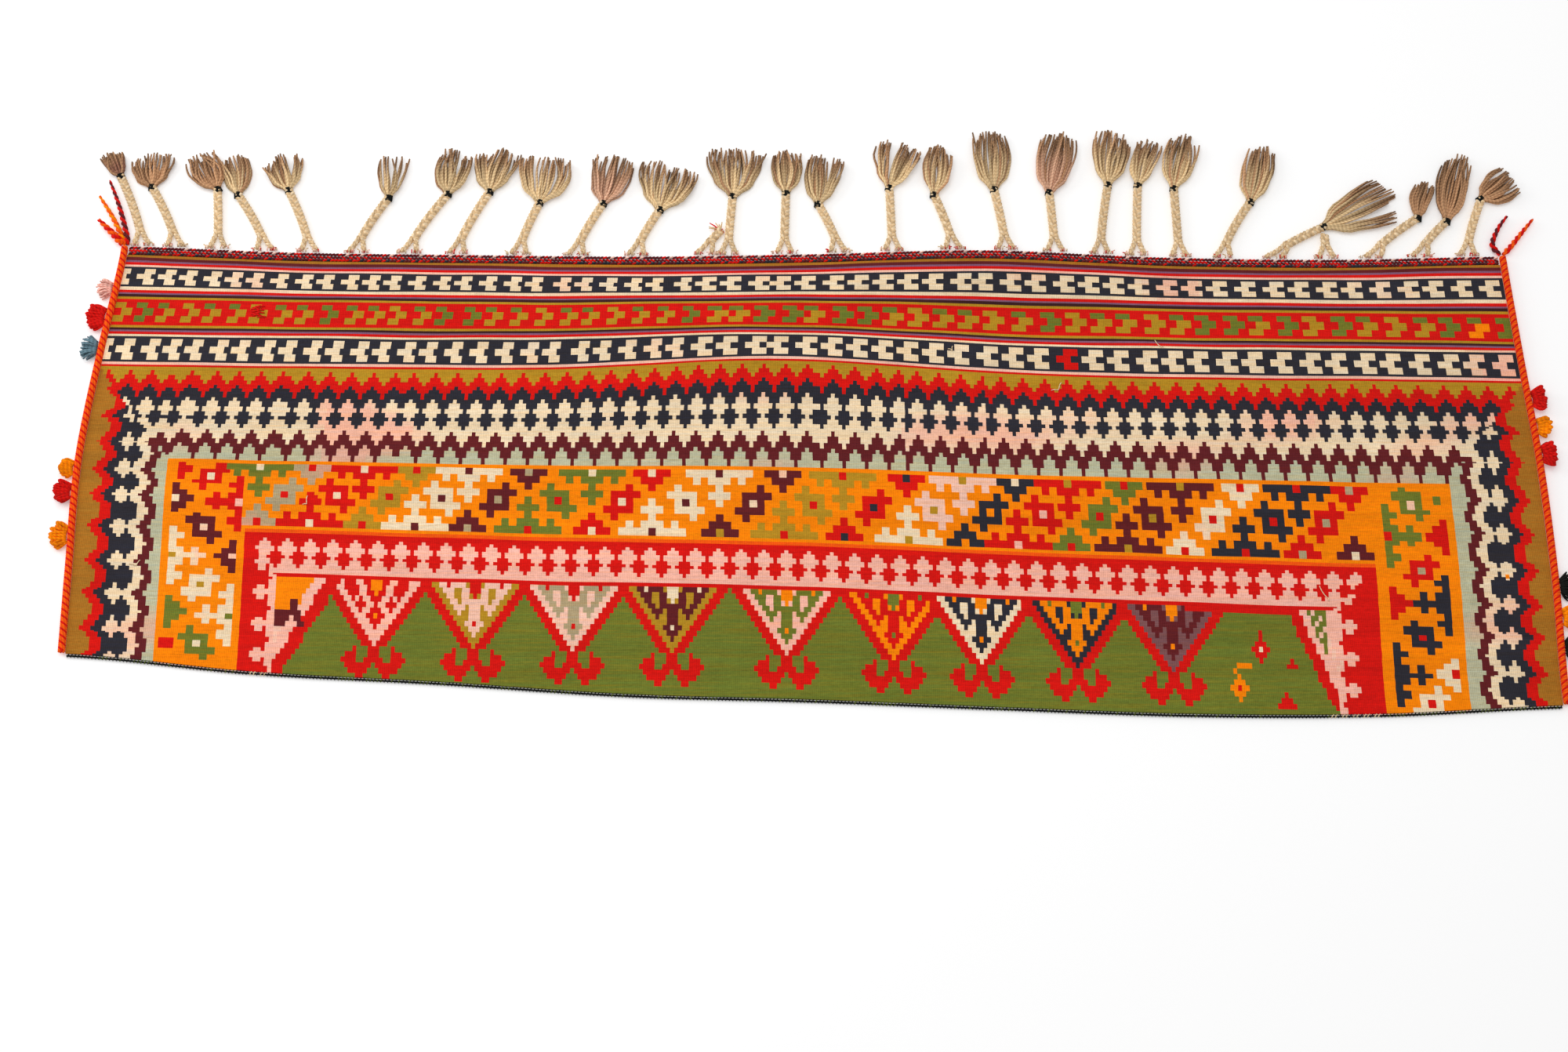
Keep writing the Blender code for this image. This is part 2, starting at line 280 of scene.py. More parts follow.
def end_wool(out, k):
    """Wool of an end border, out columns in from the edge and k steps from a peak."""
    if k <= END_DIAMOND.get(out, -1) and out < END_STEPS[3][1][k]:
        return "cream"
    for wool, limits in END_STEPS:
        if out < limits[k]:
            return wool


level = border_top
zig_of = []
for row in ZIGZAG:
    zig_of.append((level, level - row[3], row))
    level -= row[3]
border_depth = border_top - band_top
for cells, middle in zip(chart, middles):
    if middle > border_top:
        continue
    from_top = (border_top - middle) / border_depth
    turn = round((middle + 18) / SIDE_STEP) % 8
    k = min(turn, 8 - turn)
    for column in range(COLUMNS):
        out = min(column, COLUMNS - 1 - column)
        reach = LEFT_BORDER if column < COLUMNS / 2 else RIGHT_BORDER
        from_end = (out + 0.5) / reach
        if from_end >= 1 and from_top >= 1:
            cells[column] = "orange"
        elif from_end < from_top:
            cells[column] = end_wool(out, k)
        else:
            for top, bottom, (ground, climbing, width, _) in zig_of:
                if bottom < middle < top:
                    beat = (column - 8 + round(1.5 * noise.noise((column * 0.02, 0.5, 0)))) % 6
                    apart = min(beat, 6 - beat)
                    cells[column] = climbing if width == 6 or apart <= (width - 1) / 2 else ground
fill(COLUMNS - 12, COLUMNS - 11, -96, -102, "orange")

# Orange band: large and small stepped figures face each other, with squares on the slant between.
# Each figure is named by its wool and the wool of its dot.
LARGE = ("####o####", ".#.###.#.", "....#....", "...###...", "....#....")
SMALL = ("##o##", ".###.", "..#..")
SQUARE = (".#...", "####.", ".#o#.", ".####", "...#.")
BAND_COLUMNS = (48, 62, 76, 90, 104, 120, 137, 153, 171, 188,
                204, 221, 236, 250, 264, 279, 294, 310, 325, 339)
TOP_FIGURES = """
    green/cream grey/red red/cream olive/red cream/maroon maroon/grey green/cream red/cream
    cream/maroon maroon/cream olive/red red/navy rose_cream/olive navy/cream red/olive green/red
    maroon/olive cream/red navy/red red/grey""".split()
LOW_FIGURES = """
    grey/red red/cream olive/red cream/maroon maroon/grey green/red red/cream cream/maroon
    maroon/olive olive/red red/navy cream/olive navy/orange red/pink green/red maroon/olive
    cream/red navy/red red/grey maroon/cream""".split()
SLANT_FIGURES = """
    grey/red red/cream olive/red cream/maroon maroon/grey green/red red/cream cream/maroon
    maroon/cream olive/red red/navy rose_cream/olive navy/orange red/pink green/red maroon/olive
    cream/red navy/red red/grey""".split()
for n, column in enumerate(BAND_COLUMNS):
    big_above = n % 2 == 0
    for wools, above in ((TOP_FIGURES[n], True), (LOW_FIGURES[n], False)):
        art = LARGE if big_above == above and (above or n < 19) else SMALL
        top = figure_top
        if not above:
            art = art[::-1]
            top -= CELL * (9 - len(art))
        stamp(art, column - len(art[0]), top, 2, CELL, *wools.split("/"))
for n, wools in enumerate(SLANT_FIGURES):
    column = round((BAND_COLUMNS[n] + BAND_COLUMNS[n + 1]) / 2)
    art = SQUARE if n % 2 else tuple(line[::-1] for line in SQUARE)
    stamp(art, column - 5, figure_top - CELL * 2, 2, CELL, *wools.split("/"))
fill(45, 344, inner_top + 4, inner_top, "flame")


def facing(art, left):
    """Turn a figure on its side, so that its flat row stands and its point faces left or right."""
    turned = tuple("".join(line[k] for line in art) for k in range(len(art[0])))
    return tuple(line[::-1] for line in turned) if left else turned


END_FIGURES = (
    (SQUARE[::-1], 30, -27, "red/cream"), (facing(SMALL, False), 25, -57, "maroon/cream"),
    (facing(LARGE, True), 34, -60, "red/pink"), (SQUARE, 29, -91, "maroon/cream"),
    (facing(LARGE, False), 25, -123, "cream/olive"), (facing(SMALL, True), 37, -123, "maroon/cream"),
    (SQUARE[::-1], 29, -155, "cream/olive"), (facing(SMALL, False), 25, -184, "green/green"),
    (facing(LARGE, True), 33, -187, "cream/green"), (SQUARE, 29, -219, "green/cream"),
    (SQUARE, 350, -26, "green/cream"), (facing(LARGE, False), 347, -60, "green/red"),
    (facing(SMALL, True), 358, -60, "red/red"), (SQUARE[::-1], 351, -96, "red/grey"),
    (facing(LARGE, True), 353, -132, "navy/navy"), (facing(SMALL, False), 347, -133, "red/red"),
    (SQUARE, 350, -170, "navy/red"), (facing(SMALL, True), 358, -209, "cream/red"),
    (facing(LARGE, False), 347, -210, "navy/navy"), (SQUARE[::-1], 351, -240, "cream/red"),
)
for art, left, centre, wools in END_FIGURES:
    stamp(art, left, centre + FIGURE_STEP * len(art) / 2, 2, FIGURE_STEP, *wools.split("/"))
CORNER_BLOCKS = ((26, -8, 2, 24, "red"), (28, -14, 2, 8, "red"), (37, -8, 2, 8, "red"),
                 (361, -20, 2, 7, "green"), (24, -212, 4, 14, "red"), (62, -47, 2, 7, "red"))
for left, top, wide, tall, wool in CORNER_BLOCKS:
    fill(left, left + wide, top, top - tall, wool)

# Inner border: pink steps on red, along the band and down both ends of the field.
INNER_LEFT = 45
INNER_RIGHT = 344
INNER_ENDS = {-1: 9, 1: 12}
for cells, middle in zip(chart, middles):
    if middle > inner_top:
        continue
    from_top = (inner_top - middle) / (inner_top - field_top)
    turn = round((middle + 128) / INNER_STEP) % 6
    k = min(turn, 6 - turn)
    for column in range(INNER_LEFT, INNER_RIGHT):
        left_side = column < COLUMNS / 2
        out = column - INNER_LEFT if left_side else INNER_RIGHT - 1 - column
        reach = INNER_ENDS[-1 if left_side else 1]
        inside = out - (reach - 9)
        if out / reach >= 1 and from_top >= 1:
            cells[column] = "green"
        elif (out + 0.5) / reach < from_top:
            if inside >= 8 or (inside == 7 and k < 3) or (inside == 6 and k == 0):
                cells[column] = "pink"
            elif (k == 0 and 3 <= inside < 7) or (k == 1 and 4 <= inside < 6):
                cells[column] = "pink"
            else:
                cells[column] = "red"
        else:
            level = inner_top
            for ground, climbing, width, height in INNER_ZIGZAG:
                if level - height < middle < level:
                    beat = (column - 2) % 6
                    apart = min(beat, 6 - beat)
                    climbs = width == 6 or (width and apart <= (width - 1) / 2)
                    cells[column] = climbing if climbs else ground
                level -= height

# Field: pointed medallions hang from the border on green ground, each above a red hooked anchor.
# Their figures are drawn as right halves, from the middle out, and woven mirrored.
HALF = 11
MEDALLIONS = (
    (80, "pink", "red", "orange", 0), (106, "olive", "rose_cream", "red", 1),
    (132, "rose_cream", "grey", "red", 1), (158, "olive", "maroon", "cream", 1),
    (188, "pink", "green", "orange", 1), (216, "orange", "red", "green", 1),
    (239, "cream", "navy", "orange", 1), (264, "navy", "orange", "green", 1),
    (289, "plum", "maroon", "orange", 1),
)
HORNS = ("oo.####o##", "oo##..###.", "o.##..##..", "####.###..", "##.####...", "##..##....",
         "##........", "o##.......", "##........", "#.........")
HOOKS = ("oo##..###", "oo#..####", "o##..###.", "##..#.##", "#..###.", "##..#..", "o##...",
         "##...", "#....")
ANCHOR = ("##...#...", "##...###.", "###..####", ".#######.", "..#####..", "...##....")


def field_row(first, last, row, wool):
    top = field_top - FIELD_STEP * row
    fill(first, last, top, top - FIELD_STEP, wool)


def mirrored(centre, k, row, wool):
    """Weave one cell of the field k columns out, on both sides of a figure's middle."""
    for column in {centre - k, centre + k}:
        field_row(column, column + 1, row, wool)


for centre, wool, figure, dot, horned in MEDALLIONS:
    for i in range(HALF + 1):
        half = HALF - i
        field_row(centre - half - 3, centre + half + 4, i, "red")
        field_row(centre - half, centre + half + 1, i, wool)
        art = HORNS if horned else HOOKS
        if i < len(art):
            for k, mark in enumerate(art[i][:max(half - 1, 0)]):
                if mark != ".":
                    mirrored(centre, k, i, dot if mark == "o" else figure)
    field_row(centre - 1, centre + 2, HALF + 1, "red")
    for i, line in enumerate(ANCHOR):
        for k, mark in enumerate(line):
            if mark == "#":
                mirrored(centre, k, HALF + 1 + i, "red")
FIELD_LEFT = 54
FIELD_RIGHT = 332
FIELD_ROWS = 18
for i in range(FIELD_ROWS):
    slope = round(67 - i * 0.85)
    field_row(FIELD_LEFT, slope + 4, i, "red")
    field_row(FIELD_LEFT, slope, i, "pink")
    field_row(FIELD_LEFT, slope - 3, i, ("orange", "orange", "maroon", "rose_cream")[(i // 3) % 4])
    if 3 < i < 9:
        field_row(56 + i // 2, 58 + i // 2, i, "maroon")
    slope = round(323 + i * 0.62)
    field_row(slope - 3, FIELD_RIGHT, i, "red")
    field_row(slope, FIELD_RIGHT, i, "pink")
    if i < 11:
        field_row(slope + 2, FIELD_RIGHT - 2, i, "green")
        field_row(slope + 3 + i % 2, slope + 4 + i % 2, i, "rose_cream")
FLOWER = ("..#..", "..#..", ".###.", "##o##", ".###.", "..#..")
stamp(FLOWER, 310, -166, 1, FIELD_STEP, "red", "cream")
STALKED_FLOWER = ("..####", ".#....", "..#...", ".###..", "##o##.", ".###..", "..#...")
stamp(STALKED_FLOWER, 304, -203, 1, FIELD_STEP, "orange", "red")
stamp((".#.", "###"), 319, -196, 1, FIELD_STEP, "red", "red")
stamp(("..#..", ".###.", "#####"), 316, -233, 1, FIELD_STEP, "red", "red")
fill(293, 322, field_top, field_top - 5, "red")

places = [[woven_point(column, level) for column in range(COLUMNS + 1)] for level in levels]
cut = [[y <= hem_y(x) + 0.0004 for x, y in line] for line in places]
breaks = []
for r, cells in enumerate(chart):
    if any(cut[r + 1]):
        breaks.append(list(range(COLUMNS + 1)))
    else:
        changes = {c for c in range(1, COLUMNS) if cells[c] != cells[c - 1]}
        breaks.append(sorted(changes | set(range(0, COLUMNS, 4)) | {COLUMNS}))
corner_of = {}
spots = []


def corner(column, line):
    key = (column, "hem") if cut[line][column] else (column, line)
    if key not in corner_of:
        x, y = places[line][column]
        if key[1] == "hem":
            y = hem_y(x)
        lift = 0.0003 + 0.0005 * (0.5 + noise.noise((x * 11, y * 13, 1.7)))
        corner_of[key] = len(spots)
        spots.append((x, y, lift))
    return corner_of[key]


faces = []
tints = []
for r, cells in enumerate(chart):
    above = set(breaks[r - 1]) if r else set()
    below = set(breaks[r + 1]) if r + 1 < len(chart) else set()
    for first, last in zip(breaks[r], breaks[r][1:]):
        if cut[r][first] and cut[r][last]:
            continue
        low = [c for c in range(first, last + 1) if c in (first, last) or c in below]
        high = [c for c in range(last, first - 1, -1) if c in (first, last) or c in above]
        ring = [corner(c, r + 1) for c in low] + [corner(c, r) for c in high]
        ring = [v for i, v in enumerate(ring) if v != ring[i - 1]]
        if len(ring) < 3:
            continue
        faces.append(ring)
        wool = cells[first]
        x, y = places[r][first]
        tone = 1 + 0.12 * noise.noise((x * 2.2, y * 55, 5.0)) + chance.uniform(-0.04, 0.04)
        colour = [v * tone for v in WOOL[wool]]
        if wool in ("cream", "rose_cream", "sage", "grey"):
            stain = 0.55 * smooth(0.1, 0.6, noise.noise((x * 9.0, y * 14.0, 2.0)))
            colour = [a + (b - a) * stain for a, b in zip(colour, linear((255, 160, 148)))]
        tints.append(colour)
panel_mesh = bpy.data.meshes.new("kilim_cloth")
panel_mesh.from_pydata(spots, [], faces)
wool_layer = panel_mesh.attributes.new("wool", "FLOAT_COLOR", "CORNER")
panel_mesh.update()
for face, colour in zip(panel_mesh.polygons, tints):
    for loop in face.loop_indices:
        wool_layer.data[loop].color = (*colour, 1)
panel = bpy.data.objects.new("kilim_cloth", panel_mesh)
scene.collection.objects.link(panel)
bpy.context.view_layer.objects.active = panel
panel.select_set(True)
CLOTH_THICKNESS = 0.0026
thick = panel.modifiers.new("cloth_thickness", "SOLIDIFY")
thick.thickness = CLOTH_THICKNESS
thick.offset = 1
bpy.ops.object.modifier_apply(modifier="cloth_thickness")
panel.select_set(False)


# Weave detail: fine warp ribs crossed by beads of weft, with streaks along the weft, loose fuzz, and
# painted shade that darkens the wool in the grooves between ribs and beads.
# Some of the green wefts are a yellower moss.
def relief_group(name):
    """A group that takes a wool colour and gives its colour, relief height and roughness."""
    tree = bpy.data.node_groups.new(name, "ShaderNodeTree")
    tree.interface.new_socket("Wool", in_out="INPUT", socket_type="NodeSocketColor")
    for output, kind in (("Wool", "Color"), ("Height", "Float"), ("Roughness", "Float")):
        tree.interface.new_socket(output, in_out="OUTPUT", socket_type="NodeSocket" + kind)
    group_in = tree.nodes.new("NodeGroupInput")
    where = tree.nodes.new("ShaderNodeTexCoord")
    return tree, group_in, where, tree.nodes.new("ShaderNodeSeparateXYZ")


def math_node(tree, kind, a, b=None, c=None):
    made = tree.nodes.new("ShaderNodeMath")
    made.operation = kind
    for socket, value in zip(made.inputs, (a, b, c)):
        if value is None:
            continue
        if isinstance(value, (int, float)):
            socket.default_value = value
        else:
            tree.links.new(value, socket)
    return made.outputs[0]


def noise_node(tree, where, scale, detail, stretch=(1, 1, 1)):
    mapping = tree.nodes.new("ShaderNodeMapping")
    mapping.inputs["Scale"].default_value = stretch
    tree.links.new(where.outputs["Object"], mapping.inputs["Vector"])
    made = tree.nodes.new("ShaderNodeTexNoise")
    made.inputs["Scale"].default_value = scale
    made.inputs["Detail"].default_value = detail
    tree.links.new(mapping.outputs[0], made.inputs["Vector"])
    return made.outputs["Fac"]


def clamped(tree, value):
    return math_node(tree, "MAXIMUM", math_node(tree, "MINIMUM", value, 1.0), 0.0)


def overdyed(tree, wool, share, colour):
    """Multiply a wool colour by another, by a share from 0 to 1."""
    made = tree.nodes.new("ShaderNodeMix")
    made.data_type = "RGBA"
    made.blend_type = "MULTIPLY"
    made.inputs["B"].default_value = (*colour, 1)
    tree.links.new(share, made.inputs["Factor"])
    tree.links.new(wool, made.inputs["A"])
    return made.outputs["Result"]


def finish_group(tree, wool, tone, height, roughness):
    """Multiply the wool by its tone, random mottling with painted shade in the grooves of the relief, and
    give the group its three outputs.
    """
    shade = tree.nodes.new("ShaderNodeVectorMath")
    shade.operation = "SCALE"
    group_out = tree.nodes.new("NodeGroupOutput")
    tree.links.new(wool, shade.inputs[0])
    tree.links.new(tone, shade.inputs["Scale"])
    tree.links.new(shade.outputs[0], group_out.inputs["Wool"])
    tree.links.new(height, group_out.inputs["Height"])
    tree.links.new(roughness, group_out.inputs["Roughness"])


WARP_SPACING = 0.0019
WEFT_SPACING = 0.0010
weave, group_in, where, split = relief_group("weave_relief_and_groove_shade")
weave.links.new(where.outputs["Object"], split.inputs[0])
wander = noise_node(weave, where, 60, 2)
rib_x = math_node(weave, "MULTIPLY_ADD", split.outputs["X"], math.pi / WARP_SPACING,
                  math_node(weave, "MULTIPLY", wander, 3.0))
rib = math_node(weave, "ABSOLUTE", math_node(weave, "SINE", rib_x))
pick_y = math_node(weave, "MULTIPLY_ADD", split.outputs["Y"], math.pi / WEFT_SPACING,
                   math_node(weave, "MULTIPLY", wander, 4.0))
pick = math_node(weave, "ABSOLUTE", math_node(weave, "SINE", pick_y))
fuzz = noise_node(weave, where, 900, 2)
bead = math_node(weave, "MULTIPLY_ADD", rib, 0.65, math_node(weave, "MULTIPLY", pick, 0.35))
height = math_node(weave, "MULTIPLY_ADD", fuzz, 0.35, bead)
streak = noise_node(weave, where, 40, 3, (0.6, 22, 1))
cloud = noise_node(weave, where, 14, 3)
speck = noise_node(weave, where, 620, 1, (0.5, 1.6, 1))
heather = noise_node(weave, where, 260, 2, (0.6, 1.5, 1))
tone = math_node(weave, "MULTIPLY_ADD", streak, 0.52, 0.40)
tone = math_node(weave, "MULTIPLY_ADD", cloud, 0.20, tone)
tone = math_node(weave, "MULTIPLY_ADD", heather, 0.34, tone)
tone = math_node(weave, "MULTIPLY_ADD", speck, 0.34, math_node(weave, "SUBTRACT", tone, 0.12))
# Painted shade: the wool colour is darker where the weave relief is low, in the grooves between warp ribs
# and weft beads.
tone = math_node(weave, "MULTIPLY", tone, math_node(weave, "MULTIPLY_ADD", bead, 0.32, 0.82))
pull = noise_node(weave, where, 30, 4, (0.5, 16, 1))
pull = clamped(weave, math_node(weave, "MULTIPLY_ADD", pull, 3.0, -1.1))
warm = overdyed(weave, group_in.outputs["Wool"], pull, (1.08, 0.93, 0.74))
dye = weave.nodes.new("ShaderNodeSeparateColor")
weave.links.new(group_in.outputs["Wool"], dye.inputs[0])
leafy = math_node(weave, "SUBTRACT", dye.outputs["Green"], dye.outputs["Red"])
leafy = clamped(weave, math_node(weave, "MULTIPLY", leafy, 30.0))
dim = math_node(weave, "SUBTRACT", 0.4, dye.outputs["Green"])
dim = clamped(weave, math_node(weave, "MULTIPLY", dim, 10.0))
skein = noise_node(weave, where, 26, 5, (0.7, 15, 1))
skein = clamped(weave, math_node(weave, "MULTIPLY_ADD", skein, 4.0, -1.75))
moss = math_node(weave, "MULTIPLY", math_node(weave, "MULTIPLY", leafy, dim), skein)
mossy = overdyed(weave, warm, moss, (1.40, 1.03, 0.80))
finish_group(weave, mossy, tone, height, math_node(weave, "MULTIPLY_ADD", fuzz, 0.2, 0.76))


def wool_finish(name, group, layer, depth, distance):
    """Matt wool that takes its dye from a colour layer and its relief from a shared group."""
    made = bpy.data.materials.new(name)
    made.use_nodes = True
    nodes, links = made.node_tree.nodes, made.node_tree.links
    shader = nodes["Principled BSDF"]
    shader.inputs["Specular IOR Level"].default_value = 0.06
    shader.inputs["Sheen Weight"].default_value = 0.03
    shader.inputs["Sheen Roughness"].default_value = 0.6
    dye = nodes.new("ShaderNodeAttribute")
    dye.attribute_name = layer
    detail = nodes.new("ShaderNodeGroup")
    detail.node_tree = group
    bump = nodes.new("ShaderNodeBump")
    bump.inputs["Strength"].default_value = depth
    bump.inputs["Distance"].default_value = distance
    links.new(dye.outputs["Color"], detail.inputs["Wool"])
    links.new(detail.outputs["Wool"], shader.inputs["Base Color"])
    links.new(detail.outputs["Roughness"], shader.inputs["Roughness"])
    links.new(detail.outputs["Height"], bump.inputs["Height"])
    links.new(bump.outputs["Normal"], shader.inputs["Normal"])
    return made


panel.data.materials.append(wool_finish("kilim_wool", weave, "wool", 0.5, 0.0006))
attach(panel, "cloth")
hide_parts("kilim_panel")


# Spun yarn: every cord, plait, thread and tuft is built from round twisted yarns.
# Each is a closed tube along its path; its map runs round and along it, so the ply follows the yarn.
def new_yarns():
    return {"spots": [], "faces": [], "tints": [], "maps": []}


def spin(yarns, path, radius, sides, colour, taper=1.0):
    """Add one yarn along a path, in one colour or a list of one for each step; taper thins its end."""
    base = len(yarns["spots"])
    count = len(path)
    run = 0.0
    runs = []
    for i, point in enumerate(path):
        before = Vector(path[max(i - 1, 0)])
        after = Vector(path[min(i + 1, count - 1)])
        along = (after - before).normalized()
        across = along.cross(Vector((0, 0, 1)))
        if across.length < 0.05:
            across = along.cross(Vector((1, 0, 0)))
        across.normalize()
        lift = across.cross(along).normalized()
        size = radius * (1 + (taper - 1) * (i / (count - 1)) ** 3)
        if i:
            run += (Vector(point) - Vector(path[i - 1])).length
        runs.append(run)
        for k in range(sides):
            turn = math.tau * k / sides
            out = across * math.cos(turn) * size + lift * math.sin(turn) * size
            yarns["spots"].append(tuple(Vector(point) + out))
    for i in range(count - 1):
        for k in range(sides):
            near, far = base + i * sides, base + (i + 1) * sides
            step = (k + 1) % sides
            yarns["faces"].append((near + k, near + step, far + step, far + k))
            yarns["tints"].append(colour[i] if isinstance(colour, list) else colour)
            u, v = k / sides, (k + 1) / sides
            yarns["maps"].append(((u, runs[i]), (v, runs[i]), (v, runs[i + 1]), (u, runs[i + 1])))
    for ring, end in ((range(sides - 1, -1, -1), 0), (range(sides), count - 1)):
        yarns["faces"].append(tuple(base + end * sides + k for k in ring))
        yarns["tints"].append(colour[0 if end == 0 else -1] if isinstance(colour, list) else colour)
        yarns["maps"].append(tuple((k / sides, runs[end]) for k in ring))


def finish_yarns(name, yarns, finish, body, nodes):
    mesh = bpy.data.meshes.new(name)
    mesh.from_pydata(yarns["spots"], [], yarns["faces"])
    layer = mesh.attributes.new("wool", "FLOAT_COLOR", "CORNER")
    strand = mesh.uv_layers.new(name="strand")
    for face, colour, spots_on_map in zip(mesh.polygons, yarns["tints"], yarns["maps"]):
        face.use_smooth = len(face.vertices) == 4
        for loop, place in zip(face.loop_indices, spots_on_map):
            layer.data[loop].color = (*colour, 1)
            strand.data[loop].uv = place
    piece = bpy.data.objects.new(name, mesh)
    scene.collection.objects.link(piece)
    mesh.materials.append(finish)
    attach(piece, body)
    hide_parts(*nodes)


PLY_TURN = 0.0042
ply, group_in, where, split = relief_group("ply_relief_and_groove_shade")
strand_map = ply.nodes.new("ShaderNodeUVMap")
strand_map.uv_map = "strand"
ply.links.new(strand_map.outputs[0], split.inputs[0])
turns = math_node(ply, "MULTIPLY_ADD", split.outputs["Y"], math.tau / PLY_TURN,
                  math_node(ply, "MULTIPLY", split.outputs["X"], math.tau * 2))
ridge = math_node(ply, "MULTIPLY_ADD", math_node(ply, "SINE", turns), 0.5, 0.5)
fuzz = noise_node(ply, where, 1100, 2)
cloud = noise_node(ply, where, 55, 2)
# Painted shade: the wool colour is darker in the grooves between the plies, following the twist's ridges.
tone = math_node(ply, "MULTIPLY_ADD", ridge, 0.34, 0.60)
tone = math_node(ply, "MULTIPLY_ADD", fuzz, 0.28, tone)
tone = math_node(ply, "MULTIPLY_ADD", cloud, 0.22, tone)
finish_group(ply, group_in.outputs["Wool"], tone, math_node(ply, "MULTIPLY_ADD", fuzz, 0.4, ridge),
             math_node(ply, "MULTIPLY_ADD", fuzz, 0.2, 0.78))
yarn_finish = wool_finish("spun_wool", ply, "wool", 0.6, 0.0005)


def tinted(name, spread):
    tone = 1 + chance.uniform(-spread, spread)
    return tuple(v * tone for v in WOOL[name])


def twist(yarns, path, reach, radius, pitch, colours, sides=6, taper=1.0, gather=1):
    """Lay plies round a path like rope, drawn together over the first points."""
    run = 0.0
    plies = [[] for _ in colours]
    for i, point in enumerate(path):
        if i:
            run += (Vector(point) - Vector(path[i - 1])).length
        along = Vector(path[min(i + 1, len(path) - 1)]) - Vector(path[max(i - 1, 0)])
        across = along.cross(Vector((0, 0, 1))).normalized()
        narrow = (1 + (taper - 1) * (i / (len(path) - 1))) * min(1.0, i / gather)
        for k, line in enumerate(plies):
            turn = math.tau * (run / pitch + k / len(plies))
            side = across * math.cos(turn) * reach * narrow
            line.append(tuple(Vector(point) + side + Vector((0, 0, math.sin(turn) * reach * narrow))))
    for line, colour in zip(plies, colours):
        spin(yarns, line, radius, sides, colour, taper)


def resample(points, step):
    """Smooth line through points, in steps of about one length."""
    ends = [points[0]] + list(points) + [points[-1]]
    out = []
    for a, b, c, d in zip(ends, ends[1:], ends[2:], ends[3:]):
        a, b, c, d = Vector(a), Vector(b), Vector(c), Vector(d)
        count = max(int((c - b).length / step), 1)
        for i in range(count):
            t = i / count
            out.append(tuple(0.5 * ((2 * b) + (c - a) * t + (2 * a - 5 * b + 4 * c - d) * t * t
                                    + (3 * b - a - 3 * c + d) * t ** 3)))
    return out + [tuple(points[-1])]


# Header: three lines of twined yarn that lock the warp ends, in red and maroon with pale flecks.
# Each bead is one pass of a yarn over the warps, laid over four thin dark yarns.
header = new_yarns()
HEADER_ROWS = ((0.0019, ("maroon", "red", "maroon", "rose_cream")),
               (0.0055, ("red", "maroon", "red", "maroon")),
               (0.0091, ("maroon", "red", "navy", "maroon")))
low_x, high_x = side_x(-1, header_y(-0.76)) + 0.001, side_x(1, header_y(0.76)) - 0.001
BEADS = 372
for down, wools in HEADER_ROWS:
    for n in range(BEADS):
        x = low_x + (high_x - low_x) * (n + 0.5) / BEADS
        y = header_y(x) - down
        lean = 0.0009 if down < 0.004 or down > 0.008 else -0.0009
        path = [(x - 0.0019, y - lean, 0.0012), (x - 0.001, y - lean / 2, 0.0020), (x, y, 0.0023),
                (x + 0.001, y + lean / 2, 0.0020), (x + 0.0019, y + lean, 0.0012)]
        turn = n % 4 if chance.random() < 0.7 else chance.randrange(3)
        spin(header, path, 0.0013, 6, tinted(wools[turn], 0.2))
CORE_LENGTHS = 60
for n in range(CORE_LENGTHS):
    x = low_x + (high_x - low_x) * n / CORE_LENGTHS
    end = low_x + (high_x - low_x) * (n + 1) / CORE_LENGTHS
    for down in (0.0018, 0.0046, 0.0074, 0.0094):
        core = [(x, header_y(x) - down, 0.0009), (end + 0.0004, header_y(end) - down, 0.0009)]
        spin(header, core, 0.0008, 4, WOOL["dark"])
finish_yarns("twined_edge", header, yarn_finish, "cloth", ["twined_header"])


# Hem: the cut edge is overcast with dark thread round a rolled cord, in slanting stitches;
# two short runs are sewn in tan.
hem = new_yarns()
DROP = 0.0017 + GAP
hem_low = side_x(-1, hem_y(-0.76)) + 0.001
hem_high = side_x(1, hem_y(0.76)) - 0.001
HEM_STEPS = 190
edge = []
for i in range(HEM_STEPS + 1):
    x = hem_low + (hem_high - hem_low) * i / HEM_STEPS
    edge.append((x, hem_y(x) - DROP, 0.0014))
spin(hem, edge, 0.0010, 6, tuple(v * 0.6 for v in WOOL["black"]))
STITCHES = 420
for n in range(STITCHES):
    x = hem_low + (hem_high - hem_low) * (n + 0.5) / STITCHES
    y = hem_y(x) - DROP
    wool = "black" if chance.random() < 0.7 else "green"
    if -0.575 < x < -0.55 or 0.52 < x < 0.57:
        wool = "tan" if n % 3 else "black"
    colour = tuple(v * (0.55 if wool == "green" else 0.95) for v in tinted(wool, 0.3))
    path = [(x - 0.0012 + 0.0024 * a, y + 0.0030 * a - 0.0013, z)
            for a, z in ((0.0, 0.0008), (0.25, 0.0021), (0.5, 0.0028), (0.8, 0.0032), (1.0, 0.0030))]
    spin(hem, path, 0.00055, 5, colour)
finish_yarns("hem_stitching", hem, yarn_finish, "cloth", ["hem_overcast"])


# Selvedge cords: six wool yarns laid round each other like a barber's pole, one red to each two orange.
# One cord is sewn down each end of the cloth.
CORD = 0.007
CORD_HEIGHT = 0.0041  # the cord's middle, above the table
CORD_STEPS = 400
WRAP_TURN = 0.0140
for side, node in ((-1, "left_selvedge_cord"), (1, "right_selvedge_cord")):
    low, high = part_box(node)
    line = []
    for i in range(CORD_STEPS + 1):
        y = high[1] - 0.0018 - (high[1] - low[1] - 0.0036) * i / CORD_STEPS
        line.append((side_x(side, y) + side * (CORD / 2 + GAP), y, CORD_HEIGHT))
    cord = new_yarns()
    wools = [tinted(wool, 0.06) for wool in ("red", "flame", "flame") * 2]
    twist(cord, line, 0.0024, 0.0016, -WRAP_TURN * side, wools, 6)
    finish_yarns(node.replace("_cord", "_wrapping"), cord, yarn_finish, "cloth", [node])


